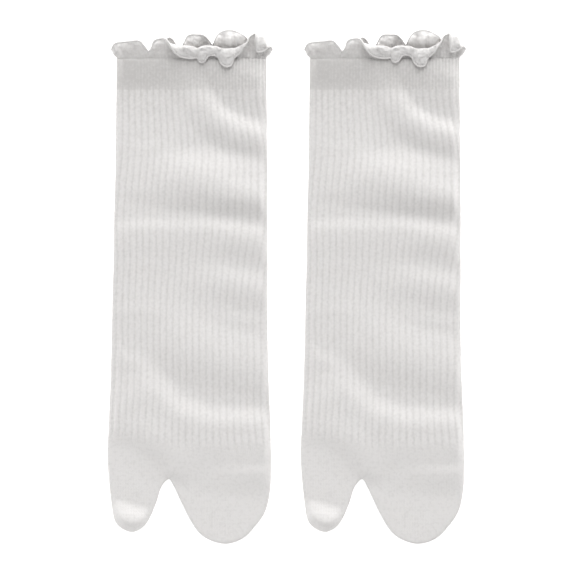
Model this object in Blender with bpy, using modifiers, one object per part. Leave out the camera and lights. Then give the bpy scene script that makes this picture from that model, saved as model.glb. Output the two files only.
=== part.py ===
"""A pair of split-toe ribbed socks with a ruffled mouth, lying flat side by side.

Each sock is one knitted tube pressed flat. Its underside lies on z = 0, its toes point along -Y and its
mouth along +Y. From the mouth down it is made of a ruffle, a cuff of fine rib, a leg of broad rib, and a
plain front that splits into a pocket for the big toe and one for the other toes. The tube has no heel turn,
so either sock fits either foot. Tables are in millimetres; everything else is in metres.
"""

import math

import bmesh
import bpy
import numpy as np
from mathutils import Vector
from mathutils.geometry import delaunay_2d_cdt

MM = 0.001

# Driving dimensions
SOCK_SPACING = 115.8 * MM  # from one sock's middle line to the other's
SOCK_LENGTH = 307.6 * MM  # toe tip to the top of the ruffle
WALL = 1.1 * MM  # thickness of the knit
PANEL_GAP = 0.4 * MM  # air between the front and back panels where nothing lifts them
SEAM = 0.3 * MM  # gap between two stretches of the tube
FLAT_TOP = 2 * WALL + PANEL_GAP  # top of the front panel where it lies flat
SIDE_HEIGHT = FLAT_TOP / 2  # height of the folded side edge
INNER_TOP = WALL + PANEL_GAP  # top of the air inside, where the panel lies flat
EDGE_ROUND = 1.3 * MM  # radius of the folded side edge
INNER_ROUND = PANEL_GAP / 2  # the same, on the inside of the tube
EDGE_STEPS = 4  # facets round that edge at the toes
INNER_EDGE_STEPS = 2
UNDERSIDE_SHARES = (2 / 3, 1 / 3)  # where the underside has points, as shares of the width
SHARP_ANGLE = math.radians(50)  # edges that turn more than this stay sharp
SAME_PLACE = 1e-9  # points closer than this are one

CUFF_TOP = 290.7 * MM
CUFF_FOOT = 272.4 * MM
RUFFLE_FOOT = 291.2 * MM
RIB_END_LEFT = 64.5 * MM  # the broad rib ends along a line that slopes from the big toe's side
RIB_END_LEVEL = 56.0 * MM  # and then runs level
RIB_END_TURN = 0.48  # share of the width where it turns level

LEG_RIBS = 24  # broad ribs across the front
LEG_RIBS_PER_SPAN = 2  # ribs to each span of the plain inside
LEG_RIB_HEIGHT = 0.4 * MM
LEG_RIB_CREST = (0.24, 0.76)  # where a broad rib's crest begins and ends, as shares of its pitch
LEG_ROWS = 22
LEG_ROW_CROWDING = 0.35  # how much closer the rows stand near the cuff, where the folds are sharper
CUFF_RIBS = 48
CUFF_RIBS_PER_SPAN = 4
CUFF_RIB_HEIGHT = 0.25 * MM
CUFF_RIB_CREST = (0.5,)
CUFF_ROWS = 2

FOLD_FADE = 5.0 * MM  # distance from a side edge over which a fold dies out
MOST_LIFT = 4.2 * MM  # the folds never lift the front panel by more than this
TOE_GRID = 7.0 * MM  # spacing of the points inside the toes' front panel
TOE_INNER_GRID = 14.0 * MM  # and on the inside of that panel
MOUTH_SPANS = 12  # spans across the toes' upper end

RUFFLE_WALL = 1.0 * MM
STEM_RUN = 0.4  # share of the way to its pull that a section runs along its panel
STEM_RISE = 0.3  # share of the way up to its pull that a section of the back panel climbs meanwhile
ROLL_SHARE = 0.5  # how round a roll is, as a share of how far its rim falls back from its pull
ROLL_MOST = 3.0 * MM  # the roundest that a roll gets
RUFFLE_LOW = 0.55 * MM  # height of the ruffle's foot on the back panel
RUFFLE_HIGH = 2.4 * MM  # and on the front panel
RUFFLE_ROWS = 10  # rows of faces from the cuff to the rim

# The folded side edges of the tube, measured from the middle line.
SIDE_EDGES = (  # y, left x, right x
    (54.0, -49.0, 49.5),
    (70.0, -48.4, 49.0),
    (98.0, -47.2, 47.9),
    (127.0, -46.5, 47.3),
    (170.0, -45.4, 47.3),
    (228.0, -44.3, 47.2),
    (272.0, -43.6, 46.7),
    (292.0, -43.2, 46.5),
)

# The curve of the toes' outline below the end of the rib, from the big toe's side round to the other side.
TOE_OUTLINE = (  # x, y, steps of the curve to the next row
    (-48.95, 53.0, 2),
    (-48.1, 39.0, 3),
    (-46.3, 23.0, 2),
    (-44.6, 14.2, 2),
    (-40.4, 9.4, 2),
    (-34.2, 7.1, 2),
    (-28.4, 9.3, 2),
    (-24.0, 14.5, 2),
    (-19.4, 25.0, 2),
    (-16.6, 33.8, 2),
    (-12.1, 38.7, 2),
    (-8.8, 33.8, 2),
    (-4.7, 25.0, 2),
    (0.6, 14.5, 2),
    (5.9, 6.9, 2),
    (12.8, 2.1, 2),
    (22.4, 0.0, 3),
    (32.6, 3.4, 2),
    (40.7, 11.7, 2),
    (46.0, 20.0, 2),
    (48.6, 31.0, 2),
    (49.4, 43.0, 2),
)

# Soft folds of the front panel. A fold rises to its height along a crest, by the share given at each point,
# and falls away over its upper width towards the mouth and its lower width towards the toes. Its crease says
# how sharply the lower side ends, from 0 for a soft foot to 1 for a crease.
FOLDS = (  # name, height, upper width, lower width, crease, crest points (x, y, share)
    ("mouth lift", 3.8, 20, 25, 0, ((-46, 296, 1), (0, 296, 1), (20, 296, 0.8), (46, 296, 0.55))),
    ("cuff corner", 2.1, 12, 21, 0, ((20, 286, 0.3), (32, 281, 1), (48, 275, 1))),
    (
        "calf slant", 2.8, 10, 15, 0,
        ((4, 274, 0.4), (9, 264, 0.9), (15, 255.5, 1), (28, 248, 1), (48, 242.5, 0.9)),
    ),
    (
        "calf sweep", 4.0, 21, 19, 0.8,
        ((-24, 222, 0.2), (-12, 220, 0.6), (2, 218.5, 0.9), (16, 217, 1), (30, 215, 0.75), (50, 212, 0.5)),
    ),
    ("calf sweep's edge", 1.8, 13, 9, 0.5, ((12, 210, 0.2), (26, 208, 0.9), (50, 205, 1))),
    ("shin step", 1.2, 8, 24, 0, ((-46, 187, 0.8), (-18, 188, 1), (12, 188, 0.9), (48, 184, 0.7))),
    ("shin ripple", 1.1, 12, 14, 0, ((8, 187, 0.2), (26, 184, 1), (48, 179, 1))),
    ("ankle rise", 1.4, 12, 14, 0, ((4, 159, 0.2), (20, 157, 0.8), (34, 154, 1), (50, 151, 1))),
    (
        "ankle slant", 2.1, 24, 23, 0,
        ((-18, 132, 0.3), (-8, 124, 0.7), (4, 116, 1), (20, 110, 1), (50, 104, 1)),
    ),
    (
        "instep swell", 2.6, 17, 30, 0,
        ((-32, 104, 0.3), (-24, 91, 0.9), (-10, 77, 1), (12, 70, 1), (50, 69, 1)),
    ),
    ("toe web", 1.1, 14, 11, 0.2, ((-46, 69, 0.3), (-28, 66, 0.8), (-15, 58, 1), (-8, 46, 0.9))),
    ("big toe roll", 3.4, 12, 12, 0, ((-50, 17, 1), (-35, 13, 1), (-20, 9, 1))),
    ("ball line", 0.3, 7, 13, 0, ((-2, 58, 0.6), (24, 58, 1), (50, 58, 1))),
    ("ball edge", 0.8, 7, 15, 0, ((16, 42, 0.3), (32, 42, 1), (50, 42, 1))),
)

# The ruffle's sections, once round the mouth: along the front from the big toe's side, then back along the
# underside. Each is a curve that leaves the cuff at its base, is drawn towards its pull and ends at its rim.
RUFFLE = (  # name, share of the way up to the front panel, base x, pull (x, y, z), rim (x, y, z)
    ("left edge's back", 0.1, -42.2, (-44.0, 293.4, 0.8), (-44.8, 296.0, 1.0)),
    ("left edge", 0.5, -42.5, (-45.0, 293.6, 1.9), (-46.1, 296.2, 2.3)),
    ("left edge's front", 0.9, -42.1, (-44.6, 294.6, 3.0), (-45.5, 297.8, 3.6)),
    ("left edge's shoulder", 1, -41.0, (-43.4, 296.2, 3.2), (-44.5, 299.3, 4.4)),
    ("left lobe's corner", 1, -38.6, (-41.0, 297.6, 3.4), (-41.9, 300.2, 5.0)),
    ("left lobe", 1, -34.5, (-35.6, 298.0, 3.6), (-36.3, 300.4, 5.4)),
    ("left lobe's end", 1, -30.0, (-29.8, 298.4, 3.6), (-30.0, 300.9, 5.4)),
    ("first notch's side", 1, -27.2, (-26.0, 295.8, 3.6), (-26.7, 298.2, 4.6)),
    ("first notch", 1, -24.4, (-24.2, 293.2, 3.4), (-24.2, 295.1, 3.8)),
    ("first notch's far side", 1, -22.0, (-22.0, 294.2, 3.4), (-22.2, 297.0, 4.2)),
    ("second lobe's corner", 1, -19.2, (-20.4, 298.2, 3.6), (-20.4, 301.1, 5.2)),
    ("second lobe", 1, -16.0, (-16.6, 299.8, 3.6), (-16.2, 302.3, 5.8)),
    ("second lobe's end", 1, -12.8, (-13.0, 300.4, 4.6), (-13.6, 301.6, 7.2)),
    ("second lobe's curl", 1, -9.8, (-10.2, 299.8, 5.2), (-11.7, 299.4, 7.8)),
    ("front roll's turn", 1, -7.4, (-7.0, 299.8, 5.4), (-9.8, 296.2, 7.2)),
    ("front roll's start", 1, -5.0, (-4.8, 300.0, 5.6), (-6.6, 292.8, 5.2)),
    ("front roll", 1, -1.4, (-1.0, 300.2, 5.6), (-2.0, 291.2, 4.0)),
    ("front roll's end", 1, 2.4, (2.4, 299.8, 5.4), (2.4, 291.0, 3.8)),
    ("front roll's dip", 1, 5.0, (5.2, 298.8, 5.2), (4.9, 291.6, 3.8)),
    ("narrow drop", 1, 7.4, (7.8, 300.8, 5.8), (7.4, 288.6, 3.8)),
    ("narrow drop's end", 1, 9.8, (10.2, 302.0, 6.2), (9.5, 290.3, 4.2)),
    ("middle roll", 1, 13.2, (13.4, 302.4, 6.4), (13.4, 292.9, 4.6)),
    ("broad drop's start", 1, 17.0, (16.8, 301.4, 6.0), (17.2, 292.0, 4.4)),
    ("broad drop's corner", 1, 19.8, (19.6, 299.8, 5.6), (19.0, 288.6, 4.0)),
    ("broad drop", 1, 22.6, (22.4, 299.8, 5.8), (21.6, 286.3, 4.0)),
    ("broad drop's far side", 1, 25.4, (25.4, 300.4, 6.0), (25.2, 286.7, 4.3)),
    ("broad drop's end", 1, 27.8, (27.8, 299.8, 6.0), (27.5, 290.0, 4.6)),
    ("right roll", 1, 30.0, (30.2, 299.8, 5.6), (30.5, 292.8, 5.0)),
    ("right roll's end", 1, 32.0, (32.2, 300.0, 5.4), (33.0, 296.2, 6.8)),
    ("right roll's curl", 1, 33.8, (34.2, 300.0, 4.8), (34.7, 299.8, 7.2)),
    ("right valley", 1, 35.2, (35.4, 300.2, 3.8), (35.9, 302.8, 6.6)),
    ("right hollow", 1, 36.6, (36.8, 300.8, 3.2), (37.2, 304.2, 6.4)),
    ("right crest", 1, 37.9, (38.4, 302.6, 4.2), (38.8, 304.8, 6.8)),
    ("right crest's turn", 1, 39.2, (40.2, 304.4, 5.2), (40.4, 304.4, 8.0)),
    ("right fold", 1, 40.6, (42.0, 306.2, 5.8), (40.8, 299.8, 8.2)),
    ("right fold's foot", 1, 42.0, (43.6, 307.0, 5.8), (41.0, 295.2, 5.8)),
    ("right lobe", 1, 43.0, (45.2, 305.6, 5.4), (43.2, 294.9, 5.0)),
    ("right lobe's end", 1, 43.6, (46.4, 302.6, 4.8), (44.9, 295.6, 5.0)),
    ("right lobe's curl", 1, 44.2, (47.0, 300.2, 4.2), (46.4, 296.6, 5.2)),
    ("right edge's shoulder", 1, 44.8, (48.2, 298.0, 3.6), (48.0, 297.6, 5.0)),
    ("right edge's front", 0.9, 45.4, (48.6, 295.4, 3.5), (48.9, 297.8, 4.8)),
    ("right edge", 0.5, 45.8, (49.4, 294.6, 2.1), (49.6, 296.4, 2.8)),
    ("right edge's back", 0.1, 45.5, (47.9, 294.6, 0.7), (48.4, 296.0, 1.1)),
    ("right edge's heel", 0, 44.6, (46.2, 294.4, 0.6), (46.8, 297.2, 0.9)),
    ("right cup's corner", 0, 42.4, (44.0, 296.0, 0.6), (44.2, 299.2, 1.0)),
    ("right cup", 0, 39.4, (39.8, 298.4, 0.8), (40.0, 301.6, 1.4)),
    ("right notch", 0, 35.2, (34.6, 298.0, 1.6), (35.0, 300.4, 2.0)),
    ("tall cup's corner", 0, 31.8, (32.4, 302.2, 5.6), (33.2, 303.6, 6.0)),
    ("tall cup", 0, 28.6, (29.0, 303.0, 9.8), (29.6, 305.6, 9.4)),
    ("tall cup's dent", 0, 25.8, (26.0, 302.6, 6.8), (26.0, 307.0, 7.2)),
    ("tall cup's crown", 0, 22.8, (22.4, 302.6, 9.8), (22.4, 307.2, 7.8)),
    ("tall cup's side", 0, 18.8, (18.2, 302.2, 8.6), (17.8, 304.6, 7.0)),
    ("middle notch", 0, 14.6, (14.4, 296.4, 2.4), (14.4, 298.8, 2.8)),
    ("small cup's side", 0, 11.2, (11.4, 299.4, 4.4), (11.4, 302.2, 5.6)),
    ("small cup's hollow", 0, 8.2, (8.6, 301.2, 3.4), (8.8, 304.4, 7.0)),
    ("small cup", 0, 4.8, (5.0, 299.8, 7.8), (5.2, 304.8, 7.8)),
    ("small cup's end", 0, 1.0, (-0.2, 299.4, 7.4), (-0.4, 304.0, 7.0)),
    ("hidden notch", 0, -4.6, (-4.8, 294.6, 0.6), (-5.2, 296.8, 1.2)),
    ("second lobe's shadow", 0, -9.0, (-8.6, 298.6, 0.8), (-9.0, 300.9, 3.2)),
    ("hidden lobe", 0, -14.0, (-12.8, 298.8, 0.6), (-12.8, 302.2, 2.6)),
    ("hidden dip", 0, -24.0, (-24.0, 292.8, 0.6), (-24.0, 293.8, 0.6)),
    ("hidden wave", 0, -33.0, (-33.6, 296.4, 0.6), (-34.0, 299.0, 0.7)),
    ("hidden corner", 0, -39.0, (-40.8, 295.4, 0.6), (-41.2, 298.0, 0.8)),
    ("left edge's heel", 0, -41.2, (-42.8, 294.2, 0.6), (-43.6, 296.8, 0.9)),
)

KNIT_COLOURS = {  # linear colours, a shade apart so that the stretches can be told from each other
    "ruffle": (0.80, 0.79, 0.78),
    "cuff": (0.70, 0.69, 0.68),
    "leg": (0.74, 0.73, 0.72),
    "toes": (0.77, 0.76, 0.75),
}


def smooth_step(t):
    """0 below 0, 1 above 1, with a soft rise between."""
    t = min(max(t, 0.0), 1.0)
    return t * t * (3 - 2 * t)


def catmull_rom(a, b, c, d, t):
    """The point at t from b to c on the smooth curve through the four points."""
    run = c - a
    bend = 2 * a - 5 * b + 4 * c - d
    twist = 3 * b - a - 3 * c + d
    return 0.5 * (2 * b + run * t + bend * t * t + twist * t**3)


def side_edges(y):
    """The x of the left and right side edges at y."""
    rows = np.array(SIDE_EDGES) * MM
    return np.interp(y, rows[:, 0], rows[:, 1]), np.interp(y, rows[:, 0], rows[:, 2])


def rib_end(u):
    """The y where the broad rib ends, at share u of the width."""
    slope = max(0.0, 1 - u / RIB_END_TURN)
    return RIB_END_LEVEL + (RIB_END_LEFT - RIB_END_LEVEL) * slope


def tube_point(u, y_at):
    """The point at share u of the width, on the line across the tube that y_at(u) gives."""
    left = side_edges(y_at(0))[0]
    right = side_edges(y_at(1))[1]
    return left + u * (right - left), y_at(u)


def nearest_on_crest(x, y, crest):
    """The signed distance from a crest to (x, y), positive to the left of its run, and the share of the
    fold's height there."""
    here = Vector((x, y, 0))
    nearest, side, share = math.inf, 1, 0
    for start, end in zip(crest, crest[1:]):
        run = (end - start).to_2d()
        step = (here - start).to_2d()
        along = min(max(step.dot(run) / run.length_squared, 0.0), 1.0)
        away = (step - run * along).length
        if away < nearest:
            nearest, side = away, math.copysign(1, run.cross(step))
            share = start.z + (end.z - start.z) * along
    return nearest * side, share


def fold_height(x, y, from_edge):
    """How far the folds lift the front panel at (x, y), from_edge away from the nearest side edge."""
    lift = 0.0
    for _name, height, upper, lower, crease, crest in FOLDS:
        points = [Vector((px * MM, py * MM, share)) for px, py, share in crest]
        away, share = nearest_on_crest(x, y, points)
        reach = abs(away) / ((upper if away > 0 else lower) * MM)
        softness = 2 if away > 0 else 2 - crease
        lift += height * MM * share * max(0.0, 1 - reach * reach) ** softness
    return min(lift, MOST_LIFT) * smooth_step(from_edge / FOLD_FADE)


def edge_rise(from_edge, radius):
    """The share of its full height that a rounded edge of the given radius has at this distance in."""
    inward = min(from_edge / radius, 1.0)
    return math.sqrt(max(0.0, 1 - (1 - inward) ** 2))


def outer_ring(y_at, ribs, crest, rib_height):
    """Points round the outside of the tube: over the front panel from the left, then back underneath."""
    (left, _), (right, _) = tube_point(0, y_at), tube_point(1, y_at)
    stations = []
    for rib in range(ribs):
        stations.append((rib / ribs, 0))
        stations += [((rib + part) / ribs, rib_height) for part in crest]
    stations.append((1, 0))
    points = []
    for share, rib_top in stations:
        x, y = tube_point(share, y_at)
        from_edge = min(x - left, right - x)
        flat = SIDE_HEIGHT + (FLAT_TOP - SIDE_HEIGHT) * edge_rise(from_edge, EDGE_ROUND)
        points.append(Vector((x, y, flat + rib_top + fold_height(x, y, from_edge))))
    eased = EDGE_ROUND * (1 - math.sqrt(0.5))
    low = SIDE_HEIGHT * (1 - edge_rise(eased, EDGE_ROUND))
    right_corner = [(1, -eased, low), (1, -EDGE_ROUND, 0)]
    left_corner = [(0, EDGE_ROUND, 0), (0, eased, low)]
    for share, step, z in right_corner + [(share, 0, 0) for share in UNDERSIDE_SHARES] + left_corner:
        x, y = tube_point(share, y_at)
        points.append(Vector((x + step, y, z)))
    return points


def inner_ring(y_at, spans):
    """Points round the plain inside of the tube, in the order of outer_ring."""
    (left, _), (right, _) = tube_point(0, y_at), tube_point(1, y_at)
    points = []
    for i in range(spans + 1):
        x, y = tube_point(i / spans, y_at)
        x = min(max(x, left + WALL), right - WALL)
        from_edge = min(x - left, right - x)
        z = SIDE_HEIGHT + INNER_ROUND * edge_rise(from_edge - WALL, INNER_ROUND)
        points.append(Vector((x, y, z + fold_height(x, y, from_edge))))
    inset = WALL + INNER_ROUND
    for share, step in [(1, -inset)] + [(share, 0) for share in UNDERSIDE_SHARES] + [(0, inset)]:
        x, y = tube_point(share, y_at)
        points.append(Vector((x + step, y, WALL)))
    return points


def add_loft(bm, rings, inward=False):
    """Faces between rings of equally many points. Gives the rings' vertices."""
    verts = [[bm.verts.new(p) for p in ring] for ring in rings]
    for upper, lower in zip(verts, verts[1:]):
        for i in range(len(upper)):
            j = (i + 1) % len(upper)
            face = [upper[i], upper[j], lower[j], lower[i]]
            bm.faces.new(face[::-1] if inward else face)
    return verts


def add_end(bm, outer, inner, matches, facing_up):
    """The wall's end between an outer and an inner ring, with an edge at each match (outer index, inner
    index)."""
    for (a, c), (b, d) in zip(matches, matches[1:] + matches[:1]):
        outside = [outer[k % len(outer)] for k in range(a, (b if b > a else b + len(outer)) + 1)]
        inside = [inner[k % len(inner)] for k in range(c, (d if d > c else d + len(inner)) + 1)]
        face = outside + inside[::-1]
        bm.faces.new(face[::-1] if facing_up else face)


def finish_mesh(bm, name):
    """A mesh with its faces pointing out, smooth but for its sharp edges."""
    bmesh.ops.recalc_face_normals(bm, faces=bm.faces)
    mesh = bpy.data.meshes.new(name)
    bm.to_mesh(mesh)
    bm.free()
    mesh.shade_smooth()
    mesh.set_sharp_from_angle(angle=SHARP_ANGLE)
    return mesh


def tube_mesh(name, y_rows, ribs, crest, rib_height, ribs_per_span):
    """A stretch of the tube, ribbed on the front outside and plain within."""
    bm = bmesh.new()
    spans = ribs // ribs_per_span
    outer = add_loft(bm, [outer_ring(row, ribs, crest, rib_height) for row in y_rows])
    inner = add_loft(bm, [inner_ring(row, spans) for row in y_rows], inward=True)
    points_per_span = ribs_per_span * (1 + len(crest))
    matches = [(i * points_per_span, i) for i in range(spans + 1)]
    front = ribs * (1 + len(crest))
    matches += [(front + 2 + i, spans + 1 + i) for i in range(len(UNDERSIDE_SHARES) + 2)]
    add_end(bm, outer[0], inner[0], matches, facing_up=True)
    add_end(bm, outer[-1], inner[-1], matches, facing_up=False)
    return finish_mesh(bm, name)


def cuff_mesh():
    """The short band of fine rib."""
    step = (CUFF_TOP - CUFF_FOOT) / CUFF_ROWS
    rows = [lambda u, y=CUFF_TOP - step * i: y for i in range(CUFF_ROWS + 1)]
    return tube_mesh("cuff", rows, CUFF_RIBS, CUFF_RIB_CREST, CUFF_RIB_HEIGHT, CUFF_RIBS_PER_SPAN)


def leg_mesh():
    """The long tube of broad rib. Its rows turn from level at the cuff to the line where the rib ends."""
    top = CUFF_FOOT - SEAM
    rows = []
    for i in range(LEG_ROWS + 1):
        part = i / LEG_ROWS
        down = part * (1 - LEG_ROW_CROWDING * (1 - part))
        rows.append(lambda u, down=down: top + (rib_end(u) - top) * down)
    return tube_mesh("leg", rows, LEG_RIBS, LEG_RIB_CREST, LEG_RIB_HEIGHT, LEG_RIBS_PER_SPAN)


def toe_outline():
    """Points of the toes' outline, from the mouth's left corner round to its right one, and their inward
    directions."""
    mouth = [tube_point(u, lambda u: rib_end(u) - SEAM) for u in (0, 1)]
    rows = [(x * MM, y * MM, steps) for x, y, steps in TOE_OUTLINE]
    rows = [(*mouth[0], 2), *rows, (*mouth[1], 0)]
    knots = [Vector(row[:2]) for row in rows]
    knots = [2 * knots[0] - knots[1], *knots, 2 * knots[-1] - knots[-2]]
    points = []
    for i, (_x, _y, steps) in enumerate(rows[:-1]):
        points += [catmull_rom(*knots[i : i + 4], t / steps) for t in range(steps)]
    points.append(knots[-2])
    inward = []
    for i, point in enumerate(points):
        run = points[min(i + 1, len(points) - 1)] - points[max(i - 1, 0)]
        inward.append(Vector((-run.y, run.x)).normalized())
    inward[0], inward[-1] = Vector((1, 0)), Vector((-1, 0))
    return points, inward


def outline_distance(x, y, outline):
    """The distance from (x, y) to the nearest stretch of the toes' outline."""
    here = Vector((x, y))
    nearest = math.inf
    for start, end in zip(outline, outline[1:]):
        run = end - start
        along = min(max((here - start).dot(run) / run.length_squared, 0.0), 1.0)
        nearest = min(nearest, (here - start - run * along).length)
    return nearest


def add_toe_shell(bm, inset, radius, low, high, arc_steps, spacing, inward):
    """One surface of the toes, inset from the outline: a front panel, a flat back panel, and the rounded
    edge between them. Gives the rings of vertices at its open end."""
    outline, directions = toe_outline()
    middle, half = (low + high) / 2, (high - low) / 2
    arcs = []
    for step in range(arc_steps + 1):
        turn = math.pi * (0.5 - step / arc_steps)
        depth = inset + radius * (1 - math.cos(turn))
        arc = []
        for point, direction in zip(outline, directions):
            x, y = point + direction * depth
            lift = fold_height(x, y, depth) * (1 - step / arc_steps)
            arc.append(bm.verts.new((x, y, middle + half * math.sin(turn) + lift)))
        arcs.append(arc)
    for ends in (0, -1):
        for arc in arcs:
            share = (arc[ends].co.x - arcs[0][0].co.x) / (arcs[0][-1].co.x - arcs[0][0].co.x)
            arc[ends].co.y = rib_end(share) - SEAM
    for upper, lower in zip(arcs, arcs[1:]):
        for i in range(len(upper) - 1):
            face = [upper[i], lower[i], lower[i + 1], upper[i + 1]]
            bm.faces.new(face[::-1] if inward else face)
    mouths = []
    for arc, is_front in ((arcs[0], True), (arcs[-1], False)):
        mouth = []
        for i in range(1, MOUTH_SPANS):
            x, y = tube_point(i / MOUTH_SPANS, lambda u: rib_end(u) - SEAM)
            z = high + fold_height(x, y, outline_distance(x, y, outline)) if is_front else low
            mouth.append(bm.verts.new((x, y, z)))
        loop = arc + mouth[::-1]
        flats = [v.co.to_2d() for v in loop]
        grid = toe_grid(outline, inset + radius, spacing) if is_front else []
        edges = [(i, (i + 1) % len(loop)) for i in range(len(loop))]
        found = delaunay_2d_cdt(flats + grid, edges, [], 1, SAME_PLACE)
        inside = []
        for x, y in grid:
            inside.append(bm.verts.new((x, y, high + fold_height(x, y, outline_distance(x, y, outline)))))
        corners = loop + inside
        for triangle in found[2]:
            face = [corners[found[3][k][0]] for k in triangle]
            bm.faces.new(face if is_front != inward else face[::-1])
        mouths.append([arc[0], *mouth, arc[-1]])
    sides = [[arc[0] for arc in arcs[1:-1]], [arc[-1] for arc in arcs[1:-1]]]
    return mouths[0] + sides[1] + mouths[1][::-1] + sides[0][::-1]


def toe_grid(outline, inset, spacing):
    """Points inside the toes' panels, well clear of their edges."""
    points = []
    left = min(p.x for p in outline)
    width = max(p.x for p in outline) - left
    for column in range(int(width / spacing) + 1):
        for row in range(int(RIB_END_LEFT / spacing) + 1):
            x = left + (column + 0.5 * (row % 2)) * spacing
            y = row * spacing
            from_mouth = rib_end((x - left) / width) - y
            from_side = outline_distance(x, y, outline) - inset
            if inside_outline(x, y, outline) and from_mouth > spacing / 2 and from_side > spacing / 3:
                points.append(Vector((x, y)))
    return points


def inside_outline(x, y, outline):
    """Whether (x, y) lies within the toes' outline, by counting the crossings to its left."""
    crossings = 0
    for start, end in zip(outline, outline[1:]):
        if (start.y > y) != (end.y > y):
            crossings += start.x + (y - start.y) / (end.y - start.y) * (end.x - start.x) < x
    return crossings % 2 == 1


def toes_mesh():
    """The plain front of the foot with its two pockets, open at its upper end."""
    bm = bmesh.new()
    outer = add_toe_shell(bm, 0, EDGE_ROUND, 0, FLAT_TOP, EDGE_STEPS, TOE_GRID, inward=False)
    inner = add_toe_shell(
        bm, WALL, INNER_ROUND, WALL, INNER_TOP, INNER_EDGE_STEPS, TOE_INNER_GRID, inward=True
    )
    across = MOUTH_SPANS + 1
    matches = [(i, i) for i in range(across)]
    matches += [(across + EDGE_STEPS - 1 + i, across + INNER_EDGE_STEPS - 1 + i) for i in range(across)]
    add_end(bm, outer, inner, matches, facing_up=True)
    return finish_mesh(bm, "toes")


def ruffle_section(up, base_x, pull, rim):
    """The base, pull and rim of one of the ruffle's sections, lifted with the front panel's folds."""
    left, right = side_edges(RUFFLE_FOOT)
    base_z = RUFFLE_LOW + (RUFFLE_HIGH - RUFFLE_LOW) * up
    points = np.array(((base_x * MM, RUFFLE_FOOT, base_z), np.array(pull) * MM, np.array(rim) * MM))
    from_edge = min(base_x * MM - left, right - base_x * MM)
    points[:, 2] += up * fold_height(base_x * MM, RUFFLE_FOOT, from_edge)
    return points


def ruffle_curve(up, base, pull, rim):
    """A section's points from the cuff to the rim: it runs along its panel, then rolls round its pull."""
    run = STEM_RUN * (pull[1] - base[1])
    rise = STEM_RISE * max(0, pull[2] - base[2]) * (1 - up)
    stem = base + np.array((0, run, rise))
    roundness = np.array((0, 0, np.clip(ROLL_SHARE * (pull[1] - rim[1]), 0, ROLL_MOST)))
    corners = (base, stem, pull - roundness, pull + roundness, rim)
    most = len(corners) - 1
    curve = []
    for t in np.linspace(0, 1, RUFFLE_ROWS + 1):
        weights = [math.comb(most, k) * (1 - t) ** (most - k) * t**k for k in range(most + 1)]
        curve.append(sum(weight * corner for weight, corner in zip(weights, corners)))
    return curve


def ruffle_mesh():
    """The ruffle's middle surface: a closed ring of sections, each a curve from the cuff to the rim."""
    curves = [ruffle_curve(row[1], *ruffle_section(*row[1:])) for row in RUFFLE]
    bm = bmesh.new()
    add_loft(bm, list(zip(*curves)))
    return finish_mesh(bm, "ruffle")


def knit_material(stretch):
    """Matt white cotton knit."""
    material = bpy.data.materials.new(f"{stretch}_knit")
    material.use_nodes = True
    shader = material.node_tree.nodes["Principled BSDF"]
    shader.inputs["Base Color"].default_value = (*KNIT_COLOURS[stretch], 1)
    shader.inputs["Roughness"].default_value = 0.9
    shader.inputs["Metallic"].default_value = 0.0
    return material


def add_sock(side, middle_x, meshes, collection):
    """One sock's four stretches, under an empty on its middle line at the toe tip."""
    sock = bpy.data.objects.new(f"{side}_sock", None)
    sock.location = (middle_x, -SOCK_LENGTH / 2, 0)
    collection.objects.link(sock)
    for stretch, mesh in meshes.items():
        piece = bpy.data.objects.new(f"{side}_{stretch}", mesh)
        piece.parent = sock
        collection.objects.link(piece)
        if stretch == "ruffle":
            thicken = piece.modifiers.new("wall", "SOLIDIFY")
            thicken.thickness = RUFFLE_WALL
            thicken.offset = 0


for leftover in list(bpy.data.objects):
    bpy.data.objects.remove(leftover)

tabi_socks = bpy.data.collections.new("tabi_socks")
bpy.context.scene.collection.children.link(tabi_socks)
stretches = {"ruffle": ruffle_mesh(), "cuff": cuff_mesh(), "leg": leg_mesh(), "toes": toes_mesh()}
for stretch_name, stretch_mesh in stretches.items():
    stretch_mesh.materials.append(knit_material(stretch_name))
add_sock("left", -SOCK_SPACING / 2, stretches, tabi_socks)
add_sock("right", SOCK_SPACING / 2, stretches, tabi_socks)
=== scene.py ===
import math

import bpy
import numpy as np
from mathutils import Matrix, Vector
from mathutils.geometry import delaunay_2d_cdt


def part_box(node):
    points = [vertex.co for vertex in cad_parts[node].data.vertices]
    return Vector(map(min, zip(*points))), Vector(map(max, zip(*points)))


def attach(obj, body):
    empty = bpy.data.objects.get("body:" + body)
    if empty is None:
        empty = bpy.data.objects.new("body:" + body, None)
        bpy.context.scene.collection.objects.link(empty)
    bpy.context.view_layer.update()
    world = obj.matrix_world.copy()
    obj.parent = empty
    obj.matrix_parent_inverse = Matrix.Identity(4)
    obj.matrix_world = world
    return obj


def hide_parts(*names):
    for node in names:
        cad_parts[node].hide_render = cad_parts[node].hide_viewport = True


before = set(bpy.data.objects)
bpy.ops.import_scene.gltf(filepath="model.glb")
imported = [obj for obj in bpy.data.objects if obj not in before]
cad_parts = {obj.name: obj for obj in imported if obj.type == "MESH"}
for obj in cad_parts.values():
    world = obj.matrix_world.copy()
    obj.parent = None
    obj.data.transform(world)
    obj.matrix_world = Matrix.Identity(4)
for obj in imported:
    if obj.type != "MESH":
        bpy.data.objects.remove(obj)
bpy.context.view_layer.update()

# The camera hangs two metres above the pair and looks straight down through a long lens, so that the
# socks show with next to no perspective.
VIEW_HEIGHT = 2.0
VIEW_WIDTH = 0.3438
VIEW_CENTRE = (0.0006, 0.0006)
SENSOR_MM = 36.0
FAR_CLIP = 10.0

camera = bpy.data.objects.new("camera", bpy.data.cameras.new("camera"))
camera.data.sensor_width = SENSOR_MM
camera.data.lens = SENSOR_MM * VIEW_HEIGHT / VIEW_WIDTH
camera.data.clip_end = FAR_CLIP
camera.location = (*VIEW_CENTRE, VIEW_HEIGHT)
bpy.context.scene.collection.objects.link(camera)
bpy.context.scene.camera = camera

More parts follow.
